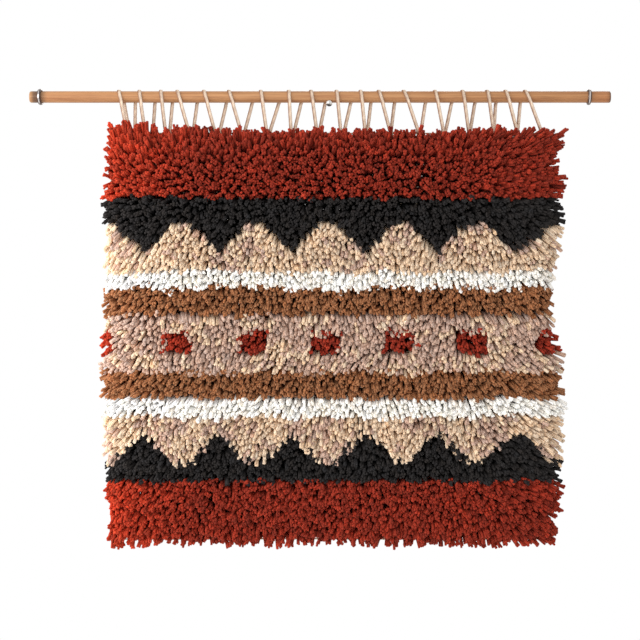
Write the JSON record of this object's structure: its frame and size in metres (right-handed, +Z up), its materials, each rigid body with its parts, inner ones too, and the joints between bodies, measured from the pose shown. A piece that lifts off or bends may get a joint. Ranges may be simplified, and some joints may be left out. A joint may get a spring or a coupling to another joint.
{
  "type": "latch hook wall hanging with dowel",
  "caption": "Deep latch-hooked wool pile on open rug canvas, laced with cord to a round wooden dowel that hangs on a round-headed wall pin, with a metal ring near each end.",
  "frame": {"origin": "on the axis of the wall pin, at the face of the wall that it is driven into", "axes": "+X to the right along the dowel, +Z up, +Y into the wall, so the pile faces -Y"},
  "size_m": [0.757, 0.0559, 0.6007],
  "materials": {
    "wool_pile": "shaggy cut wool pile in rust, black, brown, tan, taupe and cream",
    "cotton_canvas": "stiff open rug canvas, unbleached cotton",
    "lacing_cord": "plied cream cord",
    "dowel_wood": "satin, orange-tan wood with fine lengthwise grain",
    "ring_steel": "dark grey steel, worn smooth, with one bright highlight",
    "pin_nickel": "polished, pale"
  },
  "bodies": {
    "root": {"pile": "wool_pile", "canvas": "cotton_canvas", "lacing": "lacing_cord", "dowel": "dowel_wood", "ring_left": "ring_steel", "ring_right": "ring_steel", "wall_pin": "pin_nickel"}
  },
  "joints": []
}
